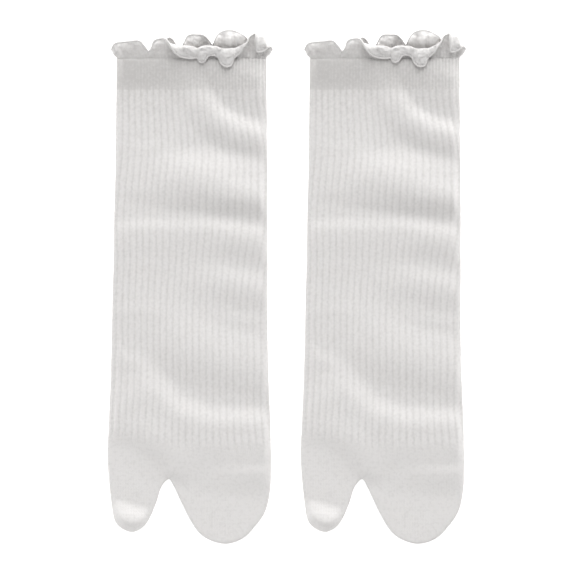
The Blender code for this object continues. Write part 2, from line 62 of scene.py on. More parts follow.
# The knitted tube: cuff, leg and foot of one sock come off the machine in one piece of cotton rib. Pressed
# flat, it is a front and a back panel that meet in two rounded side edges. Tables are in millimetres, from
# the sock's middle line and from its toe tip.
MM = 0.001
SOCK_SPACING = 115.8 * MM
WALL = 1.1 * MM
PANEL_GAP = 0.4 * MM
EDGE_ROUND = WALL + PANEL_GAP / 2
CUFF_TOP = 291.6 * MM
CUFF_FOOT = 272.4 * MM
RIB_END_LEFT = 64.5 * MM
RIB_END_LEVEL = 56.0 * MM
RIB_END_TURN = 0.48
RIB_RUN_OUT = 3.0 * MM
END_LENGTH = 0.8 * MM
END_TUCK = 0.4 * MM
END_ROWS = (0, 0.5)  # the shares of the end's length where it has a row

SIDE_EDGES = (  # y, left x, right x
    (50.0, -49.2, 49.7),
    (54.0, -49.0, 49.5),
    (70.0, -48.4, 49.0),
    (98.0, -47.2, 47.9),
    (127.0, -46.5, 47.3),
    (170.0, -45.4, 47.3),
    (228.0, -44.3, 47.2),
    (272.0, -43.6, 46.7),
    (292.0, -43.2, 46.5),
)


def side_edges(y):
    """The x of the left and right side edges at y."""
    rows = np.array(SIDE_EDGES) * MM
    return np.interp(y, rows[:, 0], rows[:, 1]), np.interp(y, rows[:, 0], rows[:, 2])


def smooth_step(t):
    """0 below 0, 1 above 1, with a soft rise between."""
    t = np.clip(t, 0.0, 1.0)
    return t * t * (3 - 2 * t)


def smooth_curve(y, knots, values):
    """The value at y on a smooth curve through the knots."""
    slopes = np.gradient(values, knots)
    k = np.clip(np.searchsorted(knots, y) - 1, 0, len(knots) - 2)
    span = knots[k + 1] - knots[k]
    t = np.clip((y - knots[k]) / span, 0, 1)
    from_start = (1 - t) ** 2 * ((1 + 2 * t) * values[k] + t * span * slopes[k])
    return from_start + t * t * ((3 - 2 * t) * values[k + 1] + (t - 1) * span * slopes[k + 1])


def rib_end(u):
    """The y where the broad rib ends, at share u of the width."""
    return RIB_END_LEVEL + (RIB_END_LEFT - RIB_END_LEVEL) * np.maximum(0.0, 1 - u / RIB_END_TURN)


# The folds of the front panel are soft swells. Each rises to its height along a crest, by the share given at
# each point, and falls away over its upper width towards the mouth and its lower width towards the toes. Its
# crease says how sharply the lower side ends, from 0 for a soft foot to 1 for a crease.
FOLD_FADE = 5.0 * MM
MOST_LIFT = 4.2 * MM

FOLDS = (  # name, height, upper width, lower width, crease, crest points (x, y, share)
    ("mouth lift", 3.8, 20, 25, 0, ((-46, 296, 1), (0, 296, 1), (20, 296, 0.8), (46, 296, 0.55))),
    ("cuff corner", 2.1, 12, 21, 0, ((20, 286, 0.3), (32, 281, 1), (48, 275, 1))),
    (
        "calf slant", 2.8, 10, 15, 0,
        ((4, 274, 0.4), (9, 264, 0.9), (15, 255.5, 1), (28, 248, 1), (48, 242.5, 0.9)),
    ),
    (
        "calf sweep", 4.0, 21, 19, 0.8,
        ((-24, 222, 0.2), (-12, 220, 0.6), (2, 218.5, 0.9), (16, 217, 1), (30, 215, 0.75), (50, 212, 0.5)),
    ),
    ("calf sweep's edge", 1.8, 13, 9, 0.5, ((12, 210, 0.2), (26, 208, 0.9), (50, 205, 1))),
    ("shin step", 1.2, 8, 24, 0, ((-46, 187, 0.8), (-18, 188, 1), (12, 188, 0.9), (48, 184, 0.7))),
    ("shin ripple", 1.1, 12, 14, 0, ((8, 187, 0.2), (26, 184, 1), (48, 179, 1))),
    ("ankle rise", 1.4, 12, 14, 0, ((4, 159, 0.2), (20, 157, 0.8), (34, 154, 1), (50, 151, 1))),
    (
        "ankle slant", 2.1, 24, 23, 0,
        ((-18, 132, 0.3), (-8, 124, 0.7), (4, 116, 1), (20, 110, 1), (50, 104, 1)),
    ),
    (
        "instep swell", 2.8, 15, 42, 0,
        ((-32, 104, 0.3), (-24, 91, 0.9), (-10, 77, 1), (12, 70, 1), (50, 69, 1)),
    ),
    ("toe web", 1.1, 14, 11, 0.2, ((-46, 69, 0.3), (-28, 66, 0.8), (-15, 58, 1), (-8, 46, 0.9))),
    ("big toe roll", 3.4, 12, 12, 0, ((-50, 17, 1), (-35, 13, 1), (-20, 9, 1))),
    ("ball line", 0.3, 7, 13, 0, ((-2, 58, 0.6), (24, 58, 1), (50, 58, 1))),
    ("ball edge", 0.8, 7, 15, 0, ((16, 42, 0.3), (32, 42, 1), (50, 42, 1))),
)

# Creases too fine for the folds, laid as low soft ridges: on the front, and on the hidden underside, where
# they are shallow hollows over the surface that the sock lies on.
FINE_CREASES = (
    ("under the cuff", 0.25, 4, 5, 0.3, ((-40, 262, 0.5), (-24, 264, 1), (-8, 261, 0.6))),
    ("calf crease", 0.3, 4, 6, 0.5, ((-43, 240, 0.7), (-28, 238, 1), (-10, 241, 0.4))),
    ("calf cross", 0.3, 5, 5, 0.3, ((-43, 213, 0.5), (-30, 211, 1), (-16, 213, 0.3))),
    ("shin crease", 0.3, 4, 6, 0.4, ((-45, 166, 0.7), (-27, 168, 1), (-6, 165, 0.5))),
    ("shin pinch", 0.25, 4, 5, 0.3, ((14, 136, 0.4), (30, 134, 1), (46, 131, 0.9))),
    ("ankle crease", 0.3, 4, 6, 0.4, ((-46, 140, 0.8), (-30, 141, 1), (-12, 137, 0.3))),
    ("instep crease", 0.25, 4, 6, 0.3, ((-46, 112, 0.8), (-34, 110, 1), (-22, 106, 0.3))),
    ("foot crease", 0.25, 5, 6, 0.3, ((14, 88, 0.4), (30, 86, 1), (48, 85, 0.7))),
)
UNDERSIDE_CREASES = (
    ("back calf", 0.5, 8, 10, 0, ((-38, 246, 0.4), (-12, 240, 1), (18, 243, 0.8), (40, 236, 0.5))),
    ("back shin", 0.4, 7, 9, 0, ((-40, 196, 0.8), (-14, 190, 1), (8, 193, 0.3))),
    ("back ankle", 0.5, 9, 9, 0, ((-6, 150, 0.3), (16, 144, 1), (42, 139, 0.7))),
    ("back heel", 0.4, 8, 8, 0, ((-40, 104, 0.6), (-12, 98, 1), (20, 101, 0.4))),
)


def fold_lift(x, y, from_edge, folds):
    """How far the folds lift a panel at the points (x, y), from_edge away from the nearest side edge."""
    lift = np.zeros(x.shape)
    for _name, height, upper, lower, crease, crest in folds:
        nearest = np.full(x.shape, np.inf)
        side = np.ones(x.shape)
        share = np.zeros(x.shape)
        for start, end in zip(crest, crest[1:]):
            run_x, run_y = (end[0] - start[0]) * MM, (end[1] - start[1]) * MM
            step_x, step_y = x - start[0] * MM, y - start[1] * MM
            along = np.clip((step_x * run_x + step_y * run_y) / (run_x**2 + run_y**2), 0, 1)
            away = np.hypot(step_x - run_x * along, step_y - run_y * along)
            closer = away < nearest
            nearest = np.where(closer, away, nearest)
            side = np.where(closer, np.sign(run_x * step_y - run_y * step_x), side)
            share = np.where(closer, start[2] + (end[2] - start[2]) * along, share)
        reach = nearest / (np.where(side > 0, upper, lower) * MM)
        softness = np.where(side > 0, 2, 2 - crease)
        lift += height * MM * share * np.maximum(0, 1 - reach * reach) ** softness
    return np.minimum(lift, MOST_LIFT) * smooth_step(from_edge / FOLD_FADE)


# The ribs run the length of the tube: 24 broad ones on each panel of the leg, three wales of knit and one of
# purl in each, and twice as many fine ones in the cuff, which draws them close. The cloth was laid with a
# twist, so the ribs drift to the right over the calf's folds, where one or two roll over the side edge.
RIBS = 24
WALES_PER_RIB = 4
COURSE = 0.8 * MM
RIB_HEIGHT = 0.34 * MM
CUFF_RIB_HEIGHT = 0.25 * MM
UNDERSIDE_RIB = 0.7
GROOVE_WIDTH = 0.46
RIB_COLUMNS = (0.0, 0.09, 0.2, 0.34, 0.5, 0.66, 0.8, 0.91)
RIB_FADE = 9.0 * MM
CUFF_FADE = 3.0 * MM
CUFF_STRETCH = (0.1, 1.0)
STRETCH_RISE = 1.6
STRETCH_START = 0.5
# Painted shade: the cuff is darkened most at its left, and the top of the leg below it by a share that fades
# with depth.
CUFF_PAINTED_SHADE = (0.92, 0.25)
LEG_PAINTED_SHADE = 0.45
LEG_PAINTED_SHADE_REACH = 20.0 * MM

RIB_DRIFT = (  # y, drift at the left edge, the middle and the right edge, as shares of the width
    (53.0, 0.0, -0.024, 0.0),
    (68.0, -0.005, -0.025, -0.015),
    (82.0, -0.003, -0.021, -0.022),
    (106.0, 0.0, -0.021, -0.010),
    (142.0, -0.006, -0.024, -0.008),
    (169.0, -0.005, -0.009, 0.026),
    (188.0, -0.015, 0.001, 0.066),
    (211.0, -0.004, 0.011, 0.074),
    (232.0, 0.010, 0.025, 0.066),
    (266.0, 0.012, -0.004, 0.010),
    (292.0, 0.008, -0.006, 0.006),
)


def rib_drift(turn, y):
    """How far the ribs are carried round the tube at turn (0 to 1 over the front, 1 to 2 over the back)."""
    rows = np.array(RIB_DRIFT)
    left, middle, right = (smooth_curve(y, rows[:, 0] * MM, rows[:, k]) for k in (1, 2, 3))
    front = left + (right - left) * turn + 4 * turn * (1 - turn) * (middle - (left + right) / 2)
    return np.where(turn <= 1, front, right + (left - right) * (turn - 1))


def cuff_painted_shade(u):
    """How much painted shade darkens the cuff's fine rib at share u of the width, most at its left."""
    return CUFF_PAINTED_SHADE[0] + (CUFF_PAINTED_SHADE[1] - CUFF_PAINTED_SHADE[0]) * u


def leg_painted_shade(u, below):
    """The cuff's painted shade carried onto the broad rib at share u, fading with the depth below the cuff.
    """
    return LEG_PAINTED_SHADE * cuff_painted_shade(u) * smooth_step(1 - below / LEG_PAINTED_SHADE_REACH)


def rib_fade(u, y):
    """How far the broad rib still stands at share u of the width: 1 on the leg, 0 where it has run out."""
    return smooth_step((y - rib_end(u) + RIB_RUN_OUT) / RIB_FADE)


def groove_profile(phase):
    """The height of a broad rib at its phase, from 0 in the groove to 1 on the crest."""
    return smooth_step(np.minimum(phase, 1 - phase) / GROOVE_WIDTH)


def round_the_edge(turn, left, right, radius):
    """The x, the height over the middle level and the normal of the pressed tube at this turn round it."""
    quarter = math.pi * radius / 2
    half = right - left + (math.pi - 2) * radius
    u = np.where(turn <= 1, turn, 2 - turn)
    upward = np.where(turn <= 1, 1.0, -1.0)
    along = u * half
    bend = np.minimum(np.minimum(along, half - along) / radius, math.pi / 2)
    x = left + radius + np.clip(along - quarter, 0, half - 2 * quarter)
    outward = np.where(along < half / 2, -1.0, 1.0) * np.cos(bend)
    return x + outward * radius, upward * np.sin(bend) * radius, outward, upward * np.sin(bend)


def tube_rows(line, turns, inset, radius, ribbed):
    """One ring of the tube on the line y = line(u), as rows (x, y, z). The outer ring is ribbed, and its end
    is tucked into the ruffle's wall."""
    left, right = side_edges(line(0.0))[0] + inset, side_edges(line(1.0))[1] - inset
    middle_y = line(0.5)
    moved = turns + rib_drift(turns, middle_y)
    moved = np.where(moved < 0, moved + 2, moved)
    moved = np.where(moved > 2, moved - 2, moved)
    x, height, normal_x, normal_z = round_the_edge(moved, left, right, radius)
    u = np.where(moved <= 1, moved, 2 - moved)
    y = line(u)
    lifted = height > 0
    top = np.clip(height / radius, 0, 1)
    offset = np.zeros(turns.shape)
    if ribbed:
        phase = np.mod(turns * RIBS, 1.0)
        fine = 0.5 - 0.5 * np.cos(4 * math.pi * phase)
        stretch = smooth_step(u * STRETCH_RISE - STRETCH_START)
        stretch = CUFF_STRETCH[0] + (CUFF_STRETCH[1] - CUFF_STRETCH[0]) * stretch
        in_cuff = smooth_step((y - CUFF_FOOT) / CUFF_FADE + 0.5)
        fade = rib_fade(u, y)
        broad_height = RIB_HEIGHT * np.where(lifted, 1.0, UNDERSIDE_RIB)
        broad = broad_height * (groove_profile(phase) - 1 + top)
        cuff = CUFF_RIB_HEIGHT * stretch * (fine - 1 + top)
        end = smooth_step((y - CUFF_TOP + END_LENGTH) / END_LENGTH)
        offset = ((1 - in_cuff) * broad + in_cuff * cuff) * fade * (1 - end) - END_TUCK * end
    from_edge = np.minimum(x - left, right - x) + inset
    front = fold_lift(x, y, from_edge, FOLDS) + (fold_lift(x, y, from_edge, FINE_CREASES) if ribbed else 0)
    back = fold_lift(x, y, from_edge, UNDERSIDE_CREASES)
    z = EDGE_ROUND + height + normal_z * offset + np.where(lifted, front, back if ribbed else 0)
    return np.stack((x + normal_x * offset, y, np.maximum(z, 0)), axis=1)


TOE_OUTLINE = (  # x, y, from the big toe's side round to the other side
    (-48.95, 53.0),
    (-48.1, 39.0),
    (-46.3, 23.0),
    (-44.6, 14.2),
    (-40.4, 9.4),
    (-34.2, 7.1),
    (-28.4, 9.3),
    (-24.0, 14.5),
    (-19.4, 25.0),
    (-16.6, 33.8),
    (-12.1, 38.7),
    (-8.8, 33.8),
    (-4.7, 25.0),
    (0.6, 14.5),
    (5.9, 6.9),
    (12.8, 2.1),
    (22.4, 0.0),
    (32.6, 3.4),
    (40.7, 11.7),
    (46.0, 20.0),
    (48.6, 31.0),
    (49.4, 43.0),
)


def catmull_rom(a, b, c, d, t):
    """The point at t from b to c on the smooth curve through the four points."""
    run = c - a
    bend = 2 * a - 5 * b + 4 * c - d
    twist = 3 * b - a - 3 * c + d
    return 0.5 * (2 * b + run * t + bend * t * t + twist * t**3)


def toe_outline(start, end, spacing):
    """The toes' outline from start to end as points at about this spacing, with their inward directions."""
    knots = [np.array(start), *(np.array(row) * MM for row in TOE_OUTLINE), np.array(end)]
    knots = [2 * knots[0] - knots[1], *knots, 2 * knots[-1] - knots[-2]]
    points = []
    for around in zip(knots, knots[1:], knots[2:], knots[3:]):
        steps = max(1, round(np.linalg.norm(around[2] - around[1]) / spacing))
        points += [catmull_rom(*around, step / steps) for step in range(steps)]
    points = np.array([*points, knots[-2]])
    runs = np.gradient(points, axis=0)
    inward = np.stack((-runs[:, 1], runs[:, 0]), axis=1) / np.linalg.norm(runs, axis=1)[:, None]
    inward[0], inward[-1] = (1, 0), (-1, 0)
    return points, inward


def outline_distance(points, outline):
    """The distance from each of the points to the outline."""
    nearest = np.full(len(points), np.inf)
    for start, end in zip(outline, outline[1:]):
        run = end - start
        step = points - start
        along = np.clip(step @ run / (run @ run), 0, 1)
        nearest = np.minimum(nearest, np.linalg.norm(step - along[:, None] * run, axis=1))
    return nearest


def inside_outline(points, outline):
    """Which points lie within the toes' outline, by counting its crossings to their left."""
    crossings = np.zeros(len(points), int)
    for (ax, ay), (bx, by) in zip(outline, outline[1:]):
        if ay != by:
            spans = (ay > points[:, 1]) != (by > points[:, 1])
            crossings += spans & (ax + (points[:, 1] - ay) / (by - ay) * (bx - ax) < points[:, 0])
    return crossings % 2 == 1


class Knit:
    """The vertices and faces of a piece of knit, with maps of its wales and courses, of its ribs and of the
    painted shade laid on it."""

    def __init__(self):
        self.points, self.faces, self.maps, self.ribs, self.close = [], [], [], [], []

    def add_points(self, points):
        start = len(self.points)
        self.points += [tuple(p) for p in points]
        return list(range(start, start + len(points)))

    def add_face(self, corners, wales, courses, flip=False, per_rib=0, shares=None, close=None):
        order = range(len(corners))[:: -1 if flip else 1]
        self.faces.append([corners[k] for k in order])
        self.maps += [(wales[k], courses[k]) for k in order]
        self.ribs += [(per_rib, shares[k] if shares else 0) for k in order]
        self.close += [(close[k] if close else 0, 0) for k in order]

    def mesh(self, name):
        mesh = bpy.data.meshes.new(name)
        mesh.from_pydata(self.points, [], self.faces)
        for label, values in (("knit", self.maps), ("ribs", self.ribs), ("close", self.close)):
            layer = mesh.uv_layers.new(name=label)
            layer.data.foreach_set("uv", np.array(values, np.float32).ravel())
        mesh.shade_smooth()
        mesh.update()
        return mesh


LEG_ROW = 2.0 * MM
INNER_ROW = 6.0 * MM
INNER_STEP = 4
TOE_ROUNDING = (22.5, 45.0, 67.5, 90.0)
TOE_SPACING = 1.5 * MM
INNER_TOE_SPACING = 6.0 * MM
WALE = 0.97 * MM
TOE_SEAM_GAP = 0.3 * MM
TRIANGLE_HEIGHT = math.sqrt(0.75)
SAME_POINT = 1e-9
INSIDE_ONLY = 1


def add_tube(knit, turns, row_height, inset, radius, ribbed):
    """The tube's rings from the cuff's top to where the rib has run out. Gives the first and last rings."""
    rows = [lambda u, level=CUFF_TOP - END_LENGTH * share: level + 0 * u for share in END_ROWS]
    cuff_rows = int((CUFF_TOP - CUFF_FOOT) / row_height) + 1
    for i in range(cuff_rows):
        level = CUFF_TOP - END_LENGTH - (CUFF_TOP - END_LENGTH - CUFF_FOOT) * i / cuff_rows
        rows.append(lambda u, level=level: level + 0 * u)
    count = int((CUFF_FOOT - RIB_END_LEVEL) / row_height) + 1
    for i in range(count + 1):
        rows.append(lambda u, down=i / count: CUFF_FOOT + (rib_end(u) - RIB_RUN_OUT - CUFF_FOOT) * down)
    rings = [knit.add_points(tube_rows(line, turns, inset, radius, ribbed)) for line in rows]
    count = len(turns)
    wales = [*(turns * RIBS * WALES_PER_RIB), 2 * RIBS * WALES_PER_RIB]
    flat_u = np.where(turns <= 1, turns, 2 - turns)
    fades = [rib_fade(flat_u, line(flat_u)) for line in rows]
    for row, (upper, lower) in enumerate(zip(rings, rings[1:])):
        in_cuff = row < cuff_rows + len(END_ROWS)
        for i in range(count):
            j = (i + 1) % count
            corners = [upper[i], upper[j], lower[j], lower[i]]
            courses = [knit.points[k][1] / COURSE for k in corners]
            across = [wales[i], wales[i + 1], wales[i + 1], wales[i]]
            corner_u = [flat_u[k] for k in (i, j, j, i)]
            if in_cuff:
                per_rib, shares = WALES_PER_RIB / 2, [CUFF_STRETCH[0] + u for u in corner_u]
                # Painted shade on the cuff, most at its left.
                close = [cuff_painted_shade(u) for u in corner_u]
            else:
                upper_fade, lower_fade = fades[row], fades[row + 1]
                per_rib, shares = WALES_PER_RIB, [upper_fade[i], upper_fade[j], lower_fade[j], lower_fade[i]]
                # The cuff's painted shade fades into the top of the leg.
                close = [leg_painted_shade(u, CUFF_FOOT - knit.points[k][1]) for u, k in zip(corner_u, corners)]
            knit.add_face(corners, across, courses, ribbed, per_rib, shares, close)
    return rings[0], rings[-1]


def add_toes(knit, ring, spacing, inset, radius, outer):
    """The two toe pockets below a ring of the tube: a front and a back sheet that meet along the outline."""
    half = len(ring) // 2
    front_edge, back_edge = ring[: half + 1], [ring[0], *ring[: half - 1 : -1]]
    (left_x, left_y), (right_x, right_y) = (knit.points[k][:2] for k in (front_edge[0], front_edge[-1]))
    outline, inward = toe_outline((left_x - inset, left_y), (right_x + inset, right_y), spacing / 2)
    edge = outline + inward * inset
    steps = TOE_ROUNDING if outer else TOE_ROUNDING[-1:]
    flats = [edge[2:-2] + inward[2:-2] * radius * (1 - math.cos(math.radians(step))) for step in steps]
    low, high = edge.min(axis=0), edge.max(axis=0)
    grid = []
    for row, y in enumerate(np.arange(low[1], high[1], spacing * TRIANGLE_HEIGHT)):
        grid += [(x + spacing / 2 * (row % 2), y) for x in np.arange(low[0], high[0], spacing)]
    grid = np.array(grid)
    u = (grid[:, 0] - low[0]) / (high[0] - low[0])
    clear = (rib_end(u) - RIB_RUN_OUT - grid[:, 1] > spacing / 2) & inside_outline(grid, edge)
    grid = grid[clear]
    flats.append(grid[outline_distance(grid, edge) > radius + spacing / 3])
    flats = np.concatenate(flats)
    from_mouth = rib_end((flats[:, 0] - low[0]) / (high[0] - low[0])) - RIB_RUN_OUT - flats[:, 1]
    flats = flats[from_mouth > TOE_SEAM_GAP]
    depth = outline_distance(flats, edge)
    from_edge = outline_distance(flats, outline)
    rise = radius * np.sqrt(np.maximum(0, 1 - np.maximum(0, 1 - depth / radius) ** 2))
    outline_ids = knit.add_points([(x, y, EDGE_ROUND) for x, y in edge[1:-1]])
    for is_front, mouth in ((True, front_edge), (False, back_edge)):
        if is_front:
            lift = fold_lift(flats[:, 0], flats[:, 1], from_edge, FOLDS)
        else:
            lift = np.zeros(len(flats))
        z = EDGE_ROUND + (rise if is_front else -rise) + lift
        inside_ids = knit.add_points(np.column_stack((flats, z)))
        loop = [mouth[0], *outline_ids, *mouth[:0:-1]]
        ids = loop + inside_ids
        plan = [Vector(knit.points[k][:2]) for k in ids]
        border = [(k, (k + 1) % len(loop)) for k in range(len(loop))]
        found = delaunay_2d_cdt(plan, border, [], INSIDE_ONLY, SAME_POINT)
        triangles, given = found[2:4]
        for triangle in triangles:
            corners = [ids[given[k][0]] for k in triangle]
            places = [knit.points[k] for k in corners]
            wales = [x / WALE for x, _y, _z in places]
            courses = [y / COURSE for _x, y, _z in places]
            knit.add_face(corners, wales, courses, is_front != outer)


def sock_mesh():
    """The knitted tube of one sock, a ribbed outer face over a plain inner one, open at its mouth."""
    knit = Knit()
    turns = np.array([(rib + part) / RIBS for rib in range(2 * RIBS) for part in RIB_COLUMNS])
    outer_mouth, outer_foot = add_tube(knit, turns, LEG_ROW, 0.0, EDGE_ROUND, ribbed=True)
    inner = turns[::INNER_STEP]
    inner_mouth, inner_foot = add_tube(knit, inner, INNER_ROW, WALL, PANEL_GAP / 2, ribbed=False)
    for i in range(len(inner)):
        j = (i + 1) % len(inner)
        across = [outer_mouth[(INNER_STEP * i + k) % len(outer_mouth)] for k in range(INNER_STEP + 1)]
        corners = [*across, inner_mouth[j], inner_mouth[i]]
        knit.add_face(corners, [0] * len(corners), [0] * len(corners))
    add_toes(knit, outer_foot, TOE_SPACING, 0.0, EDGE_ROUND, outer=True)
    add_toes(knit, inner_foot, INNER_TOE_SPACING, WALL, PANEL_GAP / 2, outer=False)
    return knit.mesh("knitted_tube")


# The knit is matt white cotton. Each stitch is a small V of two legs, each purl wale a row of low bars, and a
# haze of loose fibre lies over them. Painted shade darkens the yarn a little towards YARN_SHADE between the
# stitches and in the rib grooves, and over the cuff, most at its left, fading into the leg and the ruffle.
YARN_LIGHT = (0.745, 0.733, 0.725, 1)
YARN_SHADE = (0.600, 0.585, 0.573, 1)
YARN_WARM = (0.755, 0.730, 0.716, 1)
YARN_TINT = 0.5
SHEEN = 0.25
SHEEN_ROUGHNESS = 0.4
KNIT_GLOSS = 0.2
KNIT_ROUGHNESS = 0.8
FIBRE_ROUGHNESS = 0.15
STITCH_SLANT = 0.6
STITCH_RELIEF = 0.22 * MM
STITCH_STRENGTH = 0.6
FIBRE_SCALE = 600.0
FIBRE_DETAIL = 4.0
FIBRE_RELIEF = 0.3
HAZE = 1.5
GAP_SHADE = 0.26
GROOVE_SHADE = 0.34
GROOVE_SHARPNESS = 1.6
TINT_SCALE = 60.0
TINT_DETAIL = 2.0


def feed(tree, value, socket):
    """Gives a node's socket a number or a colour, or links another node's output to it."""
    if isinstance(value, (int, float, tuple)):
        socket.default_value = value
    else:
        tree.links.new(value, socket)


def calc(tree, operation, *terms):
    """The result of a Math node."""
    node = tree.nodes.new("ShaderNodeMath")
    node.operation = operation
    for socket, term in zip(node.inputs, terms):
        feed(tree, term, socket)
    return node.outputs[0]


def cloud(tree, scale, detail):
    """An uneven cloud of values through the piece."""
    noise = tree.nodes.new("ShaderNodeTexNoise")
    tree.links.new(tree.nodes.new("ShaderNodeTexCoord").outputs["Object"], noise.inputs["Vector"])
    feed(tree, scale, noise.inputs["Scale"])
    feed(tree, detail, noise.inputs["Detail"])
    return noise.outputs["Fac"]


def new_group(name, inputs, outputs):
    """An empty node group with these number sockets, and its ends."""
    tree = bpy.data.node_groups.new(name, "ShaderNodeTree")
    for label in inputs:
        tree.interface.new_socket(label, in_out="INPUT", socket_type="NodeSocketFloat")
    for label in outputs:
        tree.interface.new_socket(label, in_out="OUTPUT", socket_type="NodeSocketFloat")
    return tree, tree.nodes.new("NodeGroupInput"), tree.nodes.new("NodeGroupOutput")


def stitch_group():
    """Knit stitches from the count of wales and courses, with bars where Purl is 1."""
    tree, given, result = new_group("knit_stitches", ("Wale", "Course", "Purl"), ("Height", "Gap"))
    wale, course, purl = given.outputs[:3]
    off_centre = calc(tree, "SUBTRACT", calc(tree, "FRACT", calc(tree, "ADD", wale, 0.5)), 0.5)
    aside = calc(tree, "MULTIPLY", calc(tree, "ABSOLUTE", off_centre), 2.0)
    rising = calc(tree, "SUBTRACT", course, calc(tree, "MULTIPLY", aside, STITCH_SLANT))
    along = calc(tree, "SUBTRACT", calc(tree, "MULTIPLY", calc(tree, "FRACT", rising), 2.0), 1.0)
    strand = calc(tree, "SUBTRACT", 1.0, calc(tree, "MULTIPLY", along, along))
    leg = calc(tree, "SINE", calc(tree, "MULTIPLY", aside, math.pi))
    edge = calc(tree, "SUBTRACT", 1.0, calc(tree, "POWER", aside, 4.0))
    across = calc(tree, "MULTIPLY", edge, calc(tree, "ADD", calc(tree, "MULTIPLY", leg, 0.5), 0.5))
    plain = calc(tree, "ADD", calc(tree, "MULTIPLY", strand, 0.5), calc(tree, "MULTIPLY", across, 0.5))
    bar = calc(tree, "ABSOLUTE", calc(tree, "SINE", calc(tree, "MULTIPLY", course, math.pi)))
    purled = calc(tree, "MULTIPLY", bar, 0.5)
    kept = calc(tree, "MULTIPLY", plain, calc(tree, "SUBTRACT", 1.0, purl))
    height = calc(tree, "ADD", kept, calc(tree, "MULTIPLY", purled, purl))
    tree.links.new(height, result.inputs["Height"])
    # Gap is only used to paint shade between the stitches.
    tree.links.new(calc(tree, "POWER", calc(tree, "SUBTRACT", 1.0, height), 2.0), result.inputs["Gap"])
    return tree


def rib_group():
    """How far a rib's purl wale and its groove show, from the wales, how many make a rib and its share."""
    tree, given, result = new_group("rib_wales", ("Wale", "Wales Per Rib", "Share"), ("Purl", "Groove"))
    wale, per_rib, share = given.outputs[:3]
    turn = calc(tree, "FRACT", calc(tree, "DIVIDE", calc(tree, "ADD", wale, 0.5), per_rib))
    in_purl = calc(tree, "LESS_THAN", calc(tree, "MULTIPLY", turn, per_rib), 1.0)
    tree.links.new(calc(tree, "MULTIPLY", in_purl, share), result.inputs["Purl"])
    # The groove only darkens the colour, as painted shade along the rib's grooves.
    round_rib = calc(tree, "MULTIPLY", calc(tree, "DIVIDE", wale, per_rib), 2 * math.pi)
    swell = calc(tree, "MULTIPLY", calc(tree, "ADD", calc(tree, "COSINE", round_rib), 1.0), 0.5)
    groove = calc(tree, "POWER", swell, GROOVE_SHARPNESS)
    tree.links.new(calc(tree, "MULTIPLY", groove, share), result.inputs["Groove"])
    return tree


def fibre_group():
    """Loose fibre over yarn: its height, its haze and the roughness that it adds to the yarn's."""
    tree, given, result = new_group(
        "loose_fibre", ("Detail", "Yarn Roughness"), ("Height", "Haze", "Roughness")
    )
    fibre = cloud(tree, FIBRE_SCALE, given.outputs["Detail"])
    height = calc(tree, "MULTIPLY", fibre, FIBRE_RELIEF)
    haze = calc(tree, "MULTIPLY", calc(tree, "SUBTRACT", fibre, 0.5), HAZE)
    added = calc(tree, "MULTIPLY", fibre, FIBRE_ROUGHNESS)
    rough = calc(tree, "ADD", added, given.outputs["Yarn Roughness"])
    for value, label in ((height, "Height"), (haze, "Haze"), (rough, "Roughness")):
        tree.links.new(value, result.inputs[label])
    return tree


def tint_group():
    """The warm cast of undyed yarn, in uneven patches."""
    tree, _given, result = new_group("yarn_tint", (), ("Warmth",))
    warmth = calc(tree, "MULTIPLY", cloud(tree, TINT_SCALE, TINT_DETAIL), YARN_TINT)
    tree.links.new(warmth, result.inputs["Warmth"])
    return tree


stitches = stitch_group()
rib_wales = rib_group()
loose_fibre = fibre_group()
yarn_tint = tint_group()


def place_group(tree, group, **given):
    """The group as a node in a material, its inputs linked or set by name."""
    node = tree.nodes.new("ShaderNodeGroup")
    node.node_tree = group
    for label, value in given.items():
        feed(tree, value, node.inputs[label.replace("_", " ")])
    return node.outputs


def mix_colours(tree, share, first, second):
    """The colour at this share of the way from the first to the second, which are sockets 6 and 7."""
    node = tree.nodes.new("ShaderNodeMix")
    node.data_type = "RGBA"
    for value, socket in ((share, node.inputs[0]), (first, node.inputs[6]), (second, node.inputs[7])):
        feed(tree, value, socket)
    return node.outputs[2]


def cotton(name, gloss):
    """A new material with the soft sheen of cotton, as the material, its node tree and its shader."""
    material = bpy.data.materials.new(name)
    material.use_nodes = True
    shader = material.node_tree.nodes["Principled BSDF"]
    shader.inputs["Sheen Weight"].default_value = SHEEN
    shader.inputs["Sheen Roughness"].default_value = SHEEN_ROUGHNESS
    shader.inputs["Specular IOR Level"].default_value = gloss
    return material, material.node_tree, shader


def read_map(tree, label):
    """The two values of one of the knit's maps."""
    source, split = tree.nodes.new("ShaderNodeUVMap"), tree.nodes.new("ShaderNodeSeparateXYZ")
    source.uv_map = label
    tree.links.new(source.outputs["UV"], split.inputs[0])
    return split.outputs[:2]


def add_relief(tree, height, distance, strength, socket):
    """Raises the surface by height times distance, through the normal that the socket takes."""
    bump = tree.nodes.new("ShaderNodeBump")
    bump.inputs["Distance"].default_value = distance
    bump.inputs["Strength"].default_value = strength
    tree.links.new(height, bump.inputs["Height"])
    tree.links.new(bump.outputs["Normal"], socket)


